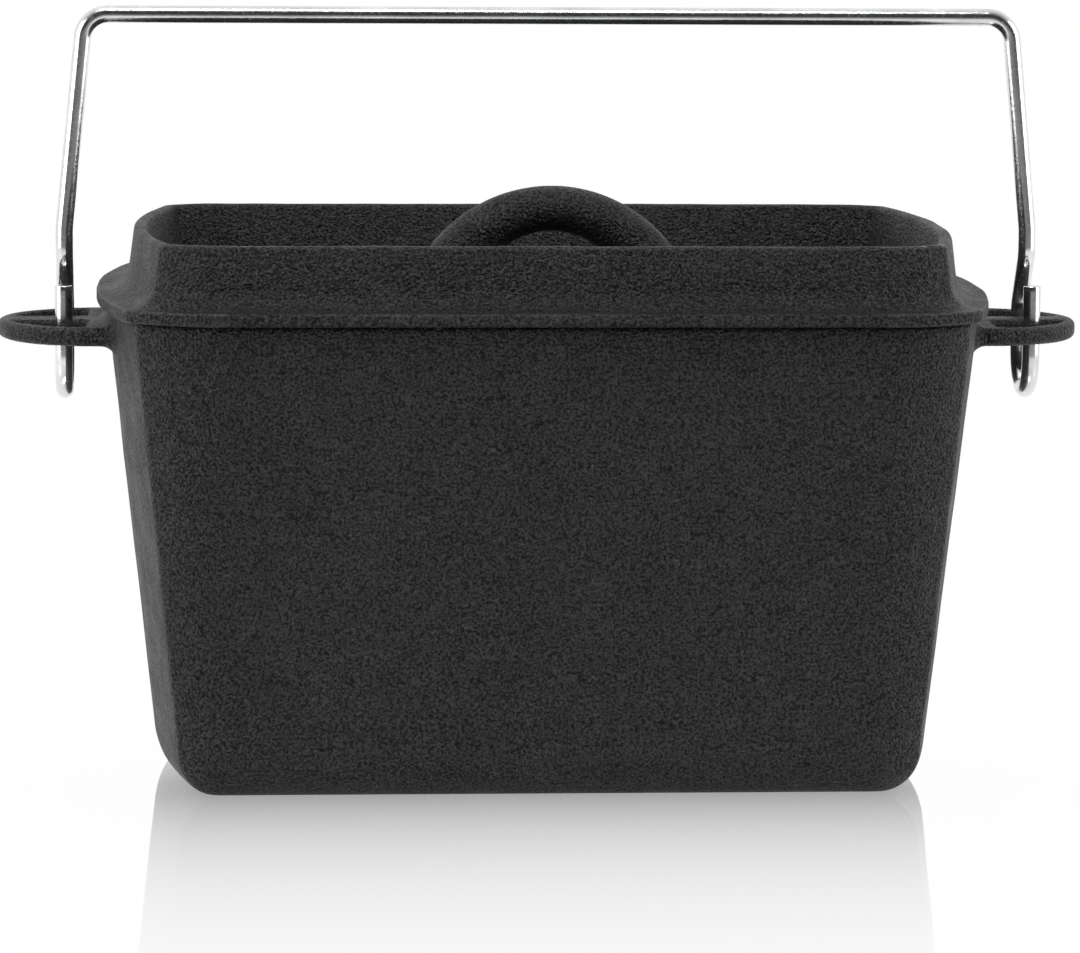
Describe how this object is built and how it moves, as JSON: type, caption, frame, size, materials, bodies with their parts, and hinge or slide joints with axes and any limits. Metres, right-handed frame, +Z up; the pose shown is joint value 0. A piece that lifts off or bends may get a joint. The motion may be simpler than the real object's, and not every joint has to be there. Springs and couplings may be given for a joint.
{
  "type": "rectangular cast-iron camp oven",
  "caption": "Deep rectangular cast-iron camp oven with a rimmed lift-off lid, cast loop handle, pierced end ears and a hooked wire bail.",
  "frame": {"origin": "middle of the pot's flat base, on the surface it stands on", "axes": "+Z up; +X along the pot's length, towards the right-hand ear; +Y to the back, the side where the bail's long legs pass through the ears"},
  "size_m": [0.376, 0.199, 0.264],
  "materials": {
    "cast_iron": "matte, pebbled sand-cast, seasoned black",
    "bright_wire": "bright plated steel wire, lightly marked"
  },
  "bodies": {
    "pot": {"pot": "cast_iron"},
    "lid": {"lid": "cast_iron"},
    "bail": {"bail": "bright_wire"}
  },
  "joints": [
    {"name": "lid_lift", "type": "slide", "parent": "pot", "child": "lid", "axis": [0, 0, 1], "range_m": [0, 0.05]},
    {"name": "bail_swing", "type": "hinge", "parent": "pot", "child": "bail", "pos_m": [0, 0, 0.1528], "axis": [1, 0, 0], "range_deg": [-65, 65]}
  ]
}
